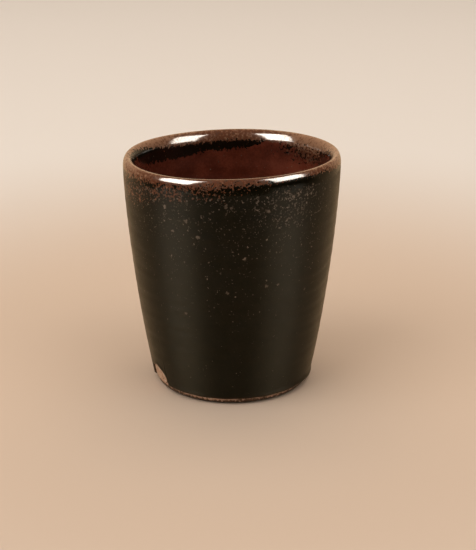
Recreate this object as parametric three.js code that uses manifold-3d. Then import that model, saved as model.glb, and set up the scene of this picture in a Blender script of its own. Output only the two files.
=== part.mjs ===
// Stoneware tumbler: a hand-thrown clay body with three coats of glaze fired onto it.
// Millimetres, +Z up. The origin is the middle of the foot, on the surface that the tumbler stands on.
// The front of the tumbler faces -Y.

import * as THREE from 'three';
import { mergeVertices } from 'three/addons/utils/BufferGeometryUtils.js';
import Module from 'manifold-3d';

// Thrown form, measured over the glaze
const HEIGHT = 94; // standing surface to the crest of the lip
const RIM_DIAMETER = 85.8; // outside, just below the lip
const BASE_DIAMETER = 64.8; // outside, where the glaze ends above the foot
const FLARE_REACH = 5.2; // how far the low wall leans out over its first stretch
const FLARE_RISE = 22.1; // height of that stretch
const SWELL_DROP = 18.4; // height below the lip over which the wall comes upright
const LIP_OUTER_REACH = 1.55; // crest of the lip to the outside, where the rounding ends
const LIP_OUTER_DROP = 3.6; // crest down to there
const LIP_INNER_REACH = 3.2; // the same for the wider rounding on the inside
const LIP_INNER_DROP = 5.2;
const WALL_THICKNESS = 4.6; // low on the wall, at the top of the inside corner
const FLOOR_THICKNESS = 6; // standing surface to the inside floor
const FLOOR_CORNER = 14; // rise and reach of the curve from the wall into the floor
const INNER_FLARE_REACH = 2.6; // the same as the outside's flare and swell, for the inside of the wall
const INNER_FLARE_RISE = 16;
const INNER_SWELL_DROP = 21;
const RIM_LEAN = 0.77; // the thrown rim stands this much higher at +X and lower at -X

// Foot
const GLAZE_LINE_HEIGHT = 2.4; // bare clay shows below this height
const FOOT_INSET = 0.8; // the turned foot steps in this far from the clay wall above it
const FOOT_EDGE_RADIUS = 0.6; // rounding of the standing edge
const STANDING_RING_WIDTH = 9; // flat ring that the tumbler stands on
const BASE_HOLLOW = 0.8; // depth of the hollow inside the ring

// Glaze coats
const OUTER_GLAZE_THICKNESS = 0.6;
const INNER_GLAZE_THICKNESS = 0.6;
const LIP_GLAZE_THICKNESS = 0.35; // the coats run thin over the lip
const LIP_BAND_DEPTH = 0.6; // how far the lip coat reaches below its roundings
const FINGER_MARK_DIAMETER = 13.8; // where a fingertip held the foot and kept the glaze off
const FINGER_MARK_ANGLE = THREE.MathUtils.degToRad(64.5); // from the front, towards -X

// Facets
const AROUND = 60;
const WALL_STEPS = 8;
const LIP_BAND_STEPS = 1;
const LIP_STEPS = 5; // on either side of the crest
const CORNER_STEPS = 4;
const ROLL_STEPS = 3;
const HOLLOW_STEPS = 3;
const EDGE_STEPS = 2;
const MARK_STEPS = 32;

// Finished surface as a radius and height profile: from the glaze line outside, over the lip,
// to the middle of the floor
const rimRadius = RIM_DIAMETER / 2;
const crestRadius = rimRadius - LIP_OUTER_REACH;
const springHeight = HEIGHT - LIP_OUTER_DROP;
const innerRimRadius = crestRadius - LIP_INNER_REACH;
const innerSpringHeight = HEIGHT - LIP_INNER_DROP;

const outerWall = new THREE.CubicBezierCurve(
  new THREE.Vector2(BASE_DIAMETER / 2, GLAZE_LINE_HEIGHT),
  new THREE.Vector2(BASE_DIAMETER / 2 + FLARE_REACH, GLAZE_LINE_HEIGHT + FLARE_RISE),
  new THREE.Vector2(rimRadius, springHeight - SWELL_DROP),
  new THREE.Vector2(rimRadius, springHeight),
);

const outerLip = new THREE.EllipseCurve(
  crestRadius,
  springHeight,
  LIP_OUTER_REACH,
  LIP_OUTER_DROP,
  0,
  Math.PI / 2,
  false,
);
const innerLip = new THREE.EllipseCurve(
  crestRadius,
  innerSpringHeight,
  LIP_INNER_REACH,
  LIP_INNER_DROP,
  Math.PI / 2,
  Math.PI,
  false,
);

const cornerTop = FLOOR_THICKNESS + FLOOR_CORNER;
const cornerRadius = outerWall.getPoint(shareAtHeight(outerWall, cornerTop)).x - WALL_THICKNESS;
const innerWall = new THREE.CubicBezierCurve(
  new THREE.Vector2(innerRimRadius, innerSpringHeight),
  new THREE.Vector2(innerRimRadius, innerSpringHeight - INNER_SWELL_DROP),
  new THREE.Vector2(cornerRadius + INNER_FLARE_REACH, cornerTop + INNER_FLARE_RISE),
  new THREE.Vector2(cornerRadius, cornerTop),
);

// The corner leaves the wall along the wall's own slope and runs level into the floor
const wallSlope = innerWall.getTangent(1);
const cornerFoot = cornerRadius + (wallSlope.x / wallSlope.y) * (FLOOR_THICKNESS - cornerTop);
const floorRadius = cornerFoot - FLOOR_CORNER;
const corner = new THREE.QuadraticBezierCurve(
  new THREE.Vector2(cornerRadius, cornerTop),
  new THREE.Vector2(cornerFoot, FLOOR_THICKNESS),
  new THREE.Vector2(floorRadius, FLOOR_THICKNESS),
);
const floor = new THREE.LineCurve(
  new THREE.Vector2(floorRadius, FLOOR_THICKNESS),
  new THREE.Vector2(0, FLOOR_THICKNESS),
);

// Share of the way along a wall's curve at which it reaches a height, found by halving
function shareAtHeight(wall, height) {
  const rising = wall.v3.y > wall.v0.y;
  let low = 0;
  let high = 1;
  for (let i = 0; i < 50; i++) {
    const middle = (low + high) / 2;
    if (wall.getPoint(middle).y < height === rising) low = middle;
    else high = middle;
  }
  return (low + high) / 2;
}

// Points along a stretch of the finished surface, each with the clay point that lies
// one coat's thickness under it
function glazedStretch(curve, { from = 0, to = 1, steps, coat, coatEnd = coat }) {
  return Array.from({ length: steps + 1 }, (_, step) => {
    const share = step / steps;
    const skin = curve.getPoint(THREE.MathUtils.lerp(from, to, share));
    const along = curve.getTangent(THREE.MathUtils.lerp(from, to, share));
    const thickness = THREE.MathUtils.lerp(coat, coatEnd, share);
    const clay = new THREE.Vector2(skin.x - along.y * thickness, skin.y + along.x * thickness);
    return { skin, clay };
  });
}

// Joins stretches end to end, keeping each shared end once
function joined(...stretches) {
  return stretches.flatMap((stretch, index) => (index === 0 ? stretch : stretch.slice(1)));
}

const outerBand = shareAtHeight(outerWall, springHeight - LIP_BAND_DEPTH);
const innerBand = shareAtHeight(innerWall, innerSpringHeight - LIP_BAND_DEPTH);

const outerStretch = glazedStretch(outerWall, {
  to: outerBand,
  steps: WALL_STEPS,
  coat: OUTER_GLAZE_THICKNESS,
});

const lipStretch = joined(
  glazedStretch(outerWall, {
    from: outerBand,
    steps: LIP_BAND_STEPS,
    coat: OUTER_GLAZE_THICKNESS,
    coatEnd: LIP_GLAZE_THICKNESS,
  }),
  glazedStretch(outerLip, { steps: LIP_STEPS, coat: LIP_GLAZE_THICKNESS }),
  glazedStretch(innerLip, { steps: LIP_STEPS, coat: LIP_GLAZE_THICKNESS }),
  glazedStretch(innerWall, {
    to: innerBand,
    steps: LIP_BAND_STEPS,
    coat: LIP_GLAZE_THICKNESS,
    coatEnd: INNER_GLAZE_THICKNESS,
  }),
);

const innerStretch = joined(
  glazedStretch(innerWall, { from: innerBand, steps: WALL_STEPS, coat: INNER_GLAZE_THICKNESS }),
  glazedStretch(corner, { steps: CORNER_STEPS, coat: INNER_GLAZE_THICKNESS }),
  glazedStretch(floor, { steps: 1, coat: INNER_GLAZE_THICKNESS }),
);

const skinOf = (stretch) => stretch.map((point) => point.skin);
const clayOf = (stretch) => stretch.map((point) => point.clay);

// A coat's outline: down its finished face, round its lower edge, and up the face that lies on the clay
function coatProfile(stretch, lowerEdge = []) {
  return [...skinOf(stretch).reverse(), ...lowerEdge, ...clayOf(stretch)];
}

// A coat that has no floor goes round the wall as a ring, so its outline closes on itself
function ringProfile(stretch, lowerEdge) {
  const outline = coatProfile(stretch, lowerEdge);
  return [...outline, outline[0]];
}

// The fired lower edge of the outer coat draws up into a half-round roll
function rolledEdge({ skin, clay }) {
  const middle = clay.clone().lerp(skin, 0.5);
  const start = skin.clone().sub(middle).angle();
  const rollRadius = OUTER_GLAZE_THICKNESS / 2;
  const roll = new THREE.ArcCurve(middle.x, middle.y, rollRadius, start, start - Math.PI, true);
  return roll.getPoints(ROLL_STEPS).slice(1, -1);
}

// Hollow base, standing ring, rounded edge and bevelled foot, from the axis out to the wall
function footProfile(wallFoot) {
  const footRadius = wallFoot.x - FOOT_INSET;
  const ringRadius = footRadius - STANDING_RING_WIDTH;
  const hollow = new THREE.QuadraticBezierCurve(
    new THREE.Vector2(0, BASE_HOLLOW),
    new THREE.Vector2(ringRadius / 2, BASE_HOLLOW),
    new THREE.Vector2(ringRadius, 0),
  );
  const edge = new THREE.ArcCurve(
    footRadius - FOOT_EDGE_RADIUS,
    FOOT_EDGE_RADIUS,
    FOOT_EDGE_RADIUS,
    -Math.PI / 2,
    0,
    false,
  );
  return [...hollow.getPoints(HOLLOW_STEPS), ...edge.getPoints(EDGE_STEPS)];
}

function clayProfile() {
  const wall = clayOf(joined(outerStretch, lipStretch, innerStretch));
  return [...footProfile(wall[0]), ...wall];
}

// Turns a profile round the upright axis
function revolve(profile) {
  return leanRim(new THREE.LatheGeometry(profile, AROUND).rotateX(Math.PI / 2));
}

// A coat's outline runs the same way as the clay's, so that the two meet facet to facet,
// and is then faced outwards
function revolveCoat(profile) {
  const geometry = revolve(profile);
  const corners = geometry.index;
  for (let i = 0; i < corners.count; i += 3) {
    const first = corners.getX(i);
    corners.setX(i, corners.getX(i + 1));
    corners.setX(i + 1, first);
  }
  geometry.computeVertexNormals();
  return geometry;
}

// The rim was left a little out of level: heights follow X, more and more towards the top
function leanRim(geometry) {
  const position = geometry.attributes.position;
  for (let i = 0; i < position.count; i++) {
    const height = position.getZ(i);
    const lift = RIM_LEAN * (position.getX(i) / rimRadius) * (height / HEIGHT) ** 2;
    position.setZ(i, height + lift);
  }
  geometry.computeVertexNormals();
  return geometry;
}

// Closed solids for cutting
const wasm = await Module();
wasm.setup();

function toSolid(geometry) {
  const bare = geometry.clone();
  bare.deleteAttribute('normal');
  bare.deleteAttribute('uv');
  const merged = mergeVertices(bare);
  const mesh = new wasm.Mesh({
    numProp: 3,
    vertProperties: merged.attributes.position.array,
    triVerts: new Uint32Array(merged.index.array),
  });
  return new wasm.Manifold(mesh);
}

function toGeometry(solid) {
  const mesh = solid.getMesh();
  const geometry = new THREE.BufferGeometry();
  geometry.setAttribute('position', new THREE.BufferAttribute(mesh.vertProperties, 3));
  geometry.setIndex(new THREE.BufferAttribute(mesh.triVerts, 1));
  geometry.computeVertexNormals();
  return geometry;
}

// The fingertip: a round bar pointing at the axis, centred on the glaze line and as deep as it is wide
function fingertip() {
  const radius = FINGER_MARK_DIAMETER / 2;
  const aside = (-BASE_DIAMETER / 2) * Math.sin(FINGER_MARK_ANGLE);
  const ahead = (-BASE_DIAMETER / 2) * Math.cos(FINGER_MARK_ANGLE);
  return new THREE.CylinderGeometry(radius, radius, FINGER_MARK_DIAMETER, MARK_STEPS)
    .rotateZ(Math.PI - FINGER_MARK_ANGLE)
    .translate(aside, ahead, GLAZE_LINE_HEIGHT);
}

function piece(name, geometry, finish) {
  const mesh = new THREE.Mesh(geometry, new THREE.MeshStandardMaterial({ metalness: 0, ...finish }));
  mesh.name = name;
  return mesh;
}

const wholeOuterCoat = toSolid(revolveCoat(ringProfile(outerStretch, rolledEdge(outerStretch[0]))));
const outerCoat = toGeometry(wholeOuterCoat.subtract(toSolid(fingertip())));

const tumbler = new THREE.Group();
tumbler.name = 'stoneware_tumbler';
tumbler.add(
  piece('clay_body', revolve(clayProfile()), { color: 0x8a6c57, roughness: 0.85 }),
  piece('outer_glaze', outerCoat, { color: 0x1b170e, roughness: 0.4 }),
  piece('lip_glaze', revolveCoat(ringProfile(lipStretch)), { color: 0x72462f, roughness: 0.15 }),
  piece('inner_glaze', revolveCoat(coatProfile(innerStretch)), { color: 0x39170e, roughness: 0.15 }),
);

export default tumbler;
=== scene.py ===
"""Stoneware tumbler: the thrown clay, its three glaze coats, a pale table, studio light and a camera.

Sizes are in millimetres until a mesh is made, and angles round the cup are in degrees. They start at
the front, which faces -Y, and grow towards +X.
"""

import logging
import math
from abc import ABC, abstractmethod
from dataclasses import dataclass
from enum import Enum
from typing import Mapping, Optional, Sequence, Union

import bpy
import numpy as np
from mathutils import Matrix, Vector


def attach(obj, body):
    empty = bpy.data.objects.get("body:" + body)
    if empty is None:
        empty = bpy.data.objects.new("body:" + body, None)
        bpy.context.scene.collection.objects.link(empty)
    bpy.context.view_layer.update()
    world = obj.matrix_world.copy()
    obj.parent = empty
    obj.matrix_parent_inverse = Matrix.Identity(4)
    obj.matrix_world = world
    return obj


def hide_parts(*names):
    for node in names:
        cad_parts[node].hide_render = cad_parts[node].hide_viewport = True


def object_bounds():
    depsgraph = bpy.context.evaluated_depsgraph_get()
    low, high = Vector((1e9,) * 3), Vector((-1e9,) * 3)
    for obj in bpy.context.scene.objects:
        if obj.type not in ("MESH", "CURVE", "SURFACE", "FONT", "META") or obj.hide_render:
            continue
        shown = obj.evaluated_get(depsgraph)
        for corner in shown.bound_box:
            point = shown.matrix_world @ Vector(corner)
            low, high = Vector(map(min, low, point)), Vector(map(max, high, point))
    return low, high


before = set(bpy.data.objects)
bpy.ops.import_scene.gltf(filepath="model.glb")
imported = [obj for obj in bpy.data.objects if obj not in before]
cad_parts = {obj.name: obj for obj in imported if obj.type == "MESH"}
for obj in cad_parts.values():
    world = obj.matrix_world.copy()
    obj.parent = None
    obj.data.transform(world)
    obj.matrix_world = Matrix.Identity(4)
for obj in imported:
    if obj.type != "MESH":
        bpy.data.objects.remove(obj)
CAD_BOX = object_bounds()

Array = np.ndarray
Colour = tuple[float, float, float]
Point = tuple[float, float]
Weights = Sequence[float]
Knots = Sequence[Point]
Socket = bpy.types.NodeSocket
Value = Union[float, Colour, Socket]

LOG = logging.getLogger("tumbler")
MM = 0.001
BLACK = (0.0, 0.0, 0.0)
FULL_TURN = 360.0
KNOT_STEP = 0.5
WAVES = (1, 2, 3, 4, 5, 7)
COLUMN_GRID = 7201
CURVE_SHARES = np.linspace(-0.05, 1.05, 6601)
SHARP_ANGLE = 50.0
# Sockets of the mix node when it blends colours
MIX_SHARE, MIX_FIRST, MIX_SECOND, MIX_RESULT = 0, 6, 7, 2


class Side(Enum):
    """The two faces of the thrown wall."""

    OUTSIDE = "outside"
    INSIDE = "inside"


class Trait(Enum):
    """What a point knows about itself: names of the mesh attributes that the finishes read."""

    RUST = "rust"
    # Pale: partly the glaze's own pale rust, partly painted reflection that makes the lip lighter toward
    # its left and right sides.
    PALE = "pale"
    RED = "red"
    SPECKS = "specks"
    GLOSS = "gloss"
    THIN = "thin"
    # Pink and pale of bare clay: flashing in the finger mark, and painted highlights just below the glaze
    # edge.
    FLASH_AND_GLINT = "flash_and_glint"
    # Painted contact shade at the bottom of the foot.
    CONTACT_SHADE = "contact_shade"


Traits = dict[Trait, Array]


@dataclass(frozen=True)
class Ramp:
    """A smooth rise from 0 at a start to a size at an end, flat beyond both."""

    start: float
    end: float
    size: float = 1.0

    def at(self, value: Array) -> Array:
        """Size * (3t^2 - 2t^3), where t is the share of the way from the start to the end."""
        share = np.clip((value - self.start) / (self.end - self.start), 0.0, 1.0)
        return self.size * share * share * (3.0 - 2.0 * share)


@dataclass(frozen=True)
class Bell:
    """A bell curve with a height, a centre and a width."""

    height: float
    centre: float
    width: float

    def at(self, value: Array) -> Array:
        """Height * e^-((value - centre) / width)^2."""
        return self.height * np.exp(-(((value - self.centre) / self.width) ** 2))


def unit(outward: Array, upward: Array) -> tuple[Array, Array]:
    """Makes directions one long."""
    length = np.hypot(outward, upward)
    return outward / length, upward / length


def blend(weights: Sequence[Array], points: Array) -> tuple[Array, Array]:
    """Weighted sum of points, as its radii and heights."""
    radius, height = (sum(weight * part for weight, part in zip(weights, parts)) for parts in points.T)
    return radius, height


def round_cup(angle: Array, knots: Knots, blur: float = 7.0) -> Array:
    """Reads a value round the cup: straight lines between knots, blurred by a bell curve.

    Args:
        angle: Angles to read at.
        knots: Pairs of angle and value, which repeat every turn.
        blur: Width of the bell curve.

    Returns:
        The values.
    """
    grid = np.arange(0.0, FULL_TURN, KNOT_STEP)
    knot_angles, knot_values = zip(*knots)
    raw = np.interp(grid, knot_angles, knot_values, period=FULL_TURN)
    offset = np.minimum(grid, FULL_TURN - grid)
    blot = np.exp(-0.5 * (offset / blur) ** 2)
    smooth = np.real(np.fft.ifft(np.fft.fft(raw) * np.fft.fft(blot / blot.sum())))
    return np.interp(angle, grid, smooth, period=FULL_TURN)


@dataclass(frozen=True)
class Waver:
    """Slow unevenness of a hand-made thing, from waves whose phases are drawn."""

    seed: int
    reach: float
    size: float = 1.0

    def at(self, angle: Array, height: Array) -> Array:
        """Mean of waves that run round the cup and change over a reach of height.

        Args:
            angle: Angles.
            height: Heights that go with them.

        Returns:
            The unevenness, at most the size.
        """
        draw = np.random.default_rng(self.seed)
        total = 0.0
        for turns in WAVES:
            phase, rise = draw.uniform(0.0, 2.0 * np.pi), draw.uniform(-1.0, 1.0)
            climb = 2.0 * np.pi * rise * height / self.reach
            total = total + np.sin(turns * np.radians(angle) + climb + phase)
        return self.size * total / len(WAVES)


@dataclass(frozen=True)
class Bezier:
    """A cubic curve of the profile, through (radius, height) points."""

    start: Point
    start_pull: Point
    end_pull: Point
    end: Point

    @classmethod
    def bend(cls, start: Point, corner: Point, end: Point) -> "Bezier":
        """Makes a curve whose pulls lie two thirds of the way from its ends to a corner."""
        pulls = [tuple(tip[axis] / 3 + corner[axis] * 2 / 3 for axis in (0, 1)) for tip in (start, end)]
        return cls(start, pulls[0], pulls[1], end)

    def corners(self) -> Array:
        """The four points as rows."""
        return np.array((self.start, self.start_pull, self.end_pull, self.end))

    def at(self, share: Array) -> tuple[Array, Array]:
        """Point at a share s: (1-s)^3 start + 3s(1-s)^2 first pull + 3s^2(1-s) second pull + s^3 end."""
        left = 1.0 - share
        return blend((left**3, 3 * share * left**2, 3 * share**2 * left, share**3), self.corners())

    def normal(self, share: Array) -> tuple[Array, Array]:
        """Unit normal to the right of the travel, from the legs between the points turned square."""
        legs = np.diff(self.corners(), axis=0)[:, ::-1] * (1.0, -1.0)
        return unit(*blend(((1.0 - share) ** 2, 2 * share * (1.0 - share), share**2), legs))

    def share_at(self, height: Union[float, Array]) -> Array:
        """Share where the curve has a height, read back from a fine table of it."""
        way = np.sign(self.end[1] - self.start[1])
        return np.interp(way * height, way * self.at(CURVE_SHARES)[1], CURVE_SHARES)


@dataclass(frozen=True)
class Arc:
    """A stretch of an ellipse of the profile over the lip, travelled from the outside to the inside."""

    centre: Point
    reach: float
    rise: float
    first: float
    last: float

    def turn(self, share: Array) -> Array:
        """Angle a along the ellipse, which grows evenly from the first to the last."""
        return self.first + (self.last - self.first) * share

    def at(self, share: Array) -> tuple[Array, Array]:
        """Point at a share: the centre plus (reach cos a, rise sin a)."""
        turn = self.turn(share)
        return self.centre[0] + self.reach * np.cos(turn), self.centre[1] + self.rise * np.sin(turn)

    def normal(self, share: Array) -> tuple[Array, Array]:
        """Unit normal of the ellipse, (cos a / reach, sin a / rise) made one long."""
        turn = self.turn(share)
        return unit(np.cos(turn) / self.reach, np.sin(turn) / self.rise)


Curve = Union[Bezier, Arc]


@dataclass
class ThrownForm:
    """The cup's thrown shape: profile curves, faint throwing rings and the lean of the rim."""

    box_top: Sequence[float]
    base_radius: float = 32.4
    glaze_line: float = 2.4
    flare_reach: float = 5.2
    flare_rise: float = 22.1
    swell_drop: float = 18.4
    inner_flare_reach: float = 2.6
    inner_flare_rise: float = 16.0
    inner_swell_drop: float = 21.0
    lip_outer_reach: float = 1.55
    lip_outer_drop: float = 3.6
    lip_inner_reach: float = 3.2
    lip_inner_drop: float = 5.2
    wall_thickness: float = 4.6
    floor_thickness: float = 6.0
    floor_corner: float = 14.0
    lip_band: float = 0.6
    lean: float = 0.77
    wall_coat: float = 0.6
    lip_coat: float = 0.35
    mark_angle: float = -64.5
    mark_radius: float = 6.9
    mark_power: float = 2.2
    mark_ripple: float = 0.03
    mark_ripples: float = 9.0
    columns: int = 440
    extra_columns: float = 2.0
    extra_reach: float = 13.0
    ring_pitch: float = 6.4
    ring_depth: float = 0.026
    ring_foot: Ramp = Ramp(6.0, 16.0)
    ring_top: Ramp = Ramp(88.0, 78.0)
    ring_swing: Waver = Waver(11, 60.0, 0.5)
    ring_sway: Waver = Waver(12, 45.0, 2.2)
    small_ring_share: float = 0.5
    small_ring_turns: float = 1.73
    small_ring_sway: Waver = Waver(14, 30.0, 3.0)
    inner_ring_pitch: float = 8.5
    inner_ring_depth: float = 0.11
    inner_ring_top: Ramp = Ramp(124.0, 112.0)
    inner_ring_middle: Ramp = Ramp(2.0, 9.0)
    inner_ring_sway: Waver = Waver(13, 50.0)
    out_of_round: float = 0.03
    oval_phase: float = 0.6
    third_wave: float = 0.6
    third_phase: float = 2.0
    edge_waver: Waver = Waver(21, 1.0, 0.17)
    edge_ripple: float = 0.05
    edge_ripples: float = 23.0
    edge_phase: float = 40.0
    waver_power: int = 8
    rim_waver: Knots = (
        (-180, 0.15), (-155, 0.12), (-140, 0.2), (-123, 0.45), (-105, 0.47), (-85, 0.25), (-58, -0.05),
        (-40, -0.05), (-20, 0.05), (-8, 0.28), (10, 0.36), (45, 0.38), (58, 0.40), (80, 0.05), (110, 0.1),
        (145, 0.22), (165, 0.2),
    )

    def __post_init__(self) -> None:
        """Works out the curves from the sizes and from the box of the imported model."""
        self.rim_radius = self.box_top[0] / MM
        self.crest = self.rim_radius - self.lip_outer_reach
        self.height = self.box_top[2] / MM - self.lean * self.crest / self.rim_radius
        shoulder = self.height - self.lip_outer_drop
        inner_shoulder = self.height - self.lip_inner_drop
        bore = self.crest - self.lip_inner_reach
        self.outer_wall = Bezier(
            (self.base_radius, self.glaze_line),
            (self.base_radius + self.flare_reach, self.glaze_line + self.flare_rise),
            (self.rim_radius, shoulder - self.swell_drop),
            (self.rim_radius, shoulder),
        )
        outer_middle = (self.crest, shoulder)
        inner_middle = (self.crest, inner_shoulder)
        self.outer_lip = Arc(outer_middle, self.lip_outer_reach, self.lip_outer_drop, 0.0, np.pi / 2)
        self.inner_lip = Arc(inner_middle, self.lip_inner_reach, self.lip_inner_drop, np.pi / 2, np.pi)
        corner_height = self.floor_thickness + self.floor_corner
        corner_radius = self.outer_radius(corner_height) - self.wall_thickness
        self.inner_wall = Bezier(
            (bore, inner_shoulder),
            (bore, inner_shoulder - self.inner_swell_drop),
            (corner_radius + self.inner_flare_reach, corner_height + self.inner_flare_rise),
            (corner_radius, corner_height),
        )
        slope = self.inner_flare_reach / self.inner_flare_rise
        turn_radius = corner_radius - slope * self.floor_corner
        floor_edge = (turn_radius - self.floor_corner, self.floor_thickness)
        turn = (turn_radius, self.floor_thickness)
        self.corner = Bezier.bend((corner_radius, corner_height), turn, floor_edge)
        middle = (floor_edge[0] / 2, self.floor_thickness)
        self.floor = Bezier.bend(floor_edge, middle, (0.0, self.floor_thickness))
        self.band_height = shoulder - self.lip_band
        self.band_share = self.outer_wall.share_at(self.band_height)
        self.inner_band_share = self.inner_wall.share_at(inner_shoulder - self.lip_band)
        self.angles = self.column_angles()

    def outer_radius(self, height: float) -> float:
        """Radius of the finished outside wall at a height."""
        return float(self.outer_wall.at(self.outer_wall.share_at(height))[0])

    def column_angles(self) -> Array:
        """Angles of the mesh columns, closer beside the finger mark.

        Returns:
            The angles where the running sum of a bell-shaped density passes even steps.
        """
        grid = np.linspace(-FULL_TURN / 2, FULL_TURN / 2, COLUMN_GRID)
        density = 1.0 + Bell(self.extra_columns, self.mark_angle, self.extra_reach).at(grid)
        running = np.concatenate([[0.0], np.cumsum((density[1:] + density[:-1]) / 2.0)])
        wanted = np.arange(self.columns) / self.columns * running[-1]
        return np.interp(wanted, running, grid)

    def relief(self, side: Side, radius: Array, height: Array) -> Array:
        """Throwing rings: a spiral wave that climbs one pitch each turn and fades out at the ends.

        Args:
            side: Face of the wall.
            radius: Radii of the smooth profile.
            height: Its heights.

        Returns:
            How far the surface stands out along its normal.
        """
        angle = self.angles[None, :]
        if side is Side.OUTSIDE:
            fade = self.ring_foot.at(height) * self.ring_top.at(height)
            turn = 2 * np.pi * height / self.ring_pitch - np.radians(angle)
            small_turn = self.small_ring_turns * turn + self.small_ring_sway.at(angle, height)
            wave = np.sin(turn + self.ring_sway.at(angle, height))
            wave = wave + self.small_ring_share * np.sin(small_turn)
            return self.ring_depth * fade * (1.0 + self.ring_swing.at(angle, height)) * wave
        run = height + radius
        fade = self.inner_ring_top.at(run) * self.inner_ring_middle.at(radius)
        turn = 2 * np.pi * run / self.inner_ring_pitch - np.radians(angle)
        return self.inner_ring_depth * fade * np.sin(turn + self.inner_ring_sway.at(angle, run))

    def surface(self, side: Side, curve: Curve, share: Array, sunk: Union[float, Array]) -> Array:
        """Carries a profile curve round the cup.

        Args:
            side: Face of the wall.
            curve: Profile curve.
            share: Its shares in rows, or in rows and columns.
            sunk: Depth below the finished face.

        Returns:
            Points in rows and columns.
        """
        share = share[:, None] if share.ndim == 1 else share
        radius, height = curve.at(share)
        outward, upward = curve.normal(share)
        stand = self.relief(side, radius, height) - sunk
        return self.turned(radius + outward * stand, height + upward * stand)

    def turned(self, radius: Array, height: Array) -> Array:
        """Turns profile points round the axis, a little out of round, and leans the rim.

        The point is (r sin a, -r cos a, h), and h gains lean * x / rim * (h / height)^2 and the rim's
        waver times (h / height)^8.

        Args:
            radius: Radii in rows, or in rows and columns.
            height: Heights of the same shape.

        Returns:
            Points of shape (rows, columns, 3) in millimetres.
        """
        turn = np.radians(self.angles)[None, :]
        oval = np.cos(2 * turn + self.oval_phase) - 1.0
        oval = oval + self.third_wave * (np.cos(3 * turn + self.third_phase) - 1.0)
        radius = radius * (1.0 + self.out_of_round * oval / self.rim_radius)
        height = height + np.zeros_like(radius)
        across = radius * np.sin(turn)
        level = height / self.height
        climb = self.lean * across / self.rim_radius * level**2
        climb = climb + round_cup(self.angles, self.rim_waver)[None, :] * level**self.waver_power
        return np.stack([across, -radius * np.cos(turn), height + climb], axis=-1)

    def glaze_edge(self) -> Array:
        """Lower edge of the coat: a wavy line with the round arch of the finger mark.

        Returns:
            One height for each column.
        """
        waver = self.edge_waver.at(self.angles, np.zeros_like(self.angles))
        ripple_turn = np.radians(self.edge_ripples * self.angles + self.edge_phase)
        waver = waver + self.edge_ripple * np.sin(ripple_turn)
        along = np.radians(self.angles - self.mark_angle) * self.base_radius / self.mark_radius
        arch = np.sqrt(np.clip(1.0 - np.abs(along) ** self.mark_power, 0.0, 1.0))
        arch = arch * (1.0 + self.mark_ripple * np.sin(self.mark_ripples * along + 1.0))
        return self.glaze_line + waver + self.mark_radius * arch


@dataclass
class Shell:
    """A closed mesh made of rows that run round the cup, each joined to the next."""

    name: str
    node: str
    slot: str
    rows: Array
    traits: Traits
    poles: Optional[Array] = None

    def faces(self) -> list[list[int]]:
        """Quads between neighbouring rows, and triangles to the poles where the ends are points.

        Returns:
            Corner numbers of each face.
        """
        rows, columns = self.rows.shape[:2]
        last = rows if self.poles is None else rows - 1
        row = np.arange(last)[:, None] * columns
        above = ((np.arange(last)[:, None] + 1) % rows) * columns
        here = np.arange(columns)[None, :]
        after = (here + 1) % columns
        quads = np.stack([row + here, row + after, above + after, above + here], axis=-1).reshape(-1, 4)
        if self.poles is None:
            return quads.tolist()
        pole = rows * columns
        top = (rows - 1) * columns
        here, after = here[0], after[0]
        first = np.stack([np.full(columns, pole), after, here], axis=-1)
        final = np.stack([top + here, top + after, np.full(columns, pole + 1)], axis=-1)
        return quads.tolist() + first.tolist() + final.tolist()

    def build(self) -> bpy.types.Object:
        """Puts the grid into a mesh that rides on the root body and stands for its CAD node.

        Returns:
            The piece.
        """
        points = self.rows.reshape(-1, 3)
        if self.poles is not None:
            points = np.concatenate([points, self.poles])
        faces = self.faces()
        mesh = bpy.data.meshes.new(self.name)
        mesh.from_pydata((points * MM).tolist(), [], faces)
        mesh.validate()
        mesh.shade_smooth()
        mesh.set_sharp_from_angle(angle=math.radians(SHARP_ANGLE))
        for trait, grid in self.traits.items():
            values = grid.ravel()
            if self.poles is not None:
                values = np.concatenate([values, [grid[0].mean(), grid[-1].mean()]])
            layer = mesh.attributes.new(trait.value, "FLOAT", "POINT")
            layer.data.foreach_set("value", values.astype(np.float32))
        piece = bpy.data.objects.new(self.name, mesh)
        bpy.context.collection.objects.link(piece)
        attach(piece, "root")
        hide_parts(self.node)
        LOG.info("%s: %d points, %d faces", self.name, len(points), len(faces))
        return piece


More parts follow.
